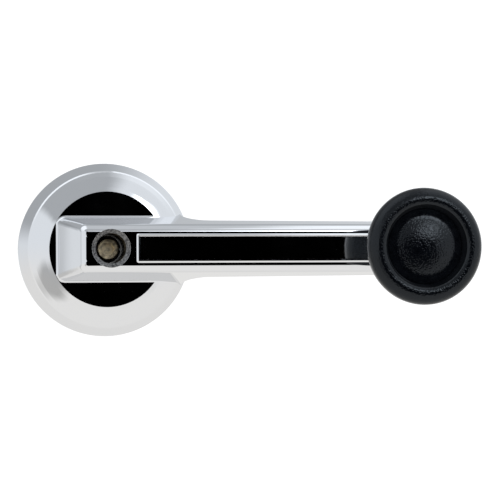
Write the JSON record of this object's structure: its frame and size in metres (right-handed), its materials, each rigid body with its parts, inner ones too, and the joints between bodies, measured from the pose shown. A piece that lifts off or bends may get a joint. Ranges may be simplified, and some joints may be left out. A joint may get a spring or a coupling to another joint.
{
  "type": "window winder handle",
  "caption": "Chrome-plated window winder crank: round stepped base, tapered flat arm with a raised frame, and a black free-turning knob.",
  "frame": {"origin": "on the hub axis, in the plane of the door trim, at the mouth end of the drive socket", "axes": "+Z along the hub axis away from the door, +X from the hub to the knob"},
  "size_m": [0.1477, 0.0574, 0.0473],
  "materials": {
    "chrome_plate": "bright chrome plate over a polished zinc die casting",
    "bright_steel": "turned steel, clear zinc plated",
    "yellow_zinc": "steel with yellow-brown passivated zinc",
    "spring_steel": "dark spring steel",
    "nylon": "natural nylon, satin",
    "acetal": "natural acetal, satin",
    "knob_plastic": "black moulded plastic with a fine pebble grain",
    "cap_plastic": "black moulded plastic with a fine pebble grain"
  },
  "bodies": {
    "door_washer": {"thrust_washer": "nylon"},
    "crank": {"handle_casting": "chrome_plate", "drive_insert": "bright_steel", "retaining_screw": "yellow_zinc", "lock_washer": "spring_steel", "knob_spindle": "bright_steel", "stake_washer": "bright_steel", "spring_washer": "spring_steel", "clip_washer": "bright_steel", "retaining_clip": "spring_steel"},
    "knob": {"knob_body": "knob_plastic", "knob_bush": "acetal", "knob_cap": "cap_plastic"}
  },
  "joints": [
    {"name": "crank_turn", "type": "hinge", "parent": "door_washer", "child": "crank", "pos_m": [0, 0, 0], "axis": [0, 0, 1], "continuous": true},
    {"name": "knob_spin", "type": "hinge", "parent": "crank", "child": "knob", "pos_m": [0.1, 0, 0.022], "axis": [0, 0, 1], "continuous": true}
  ]
}
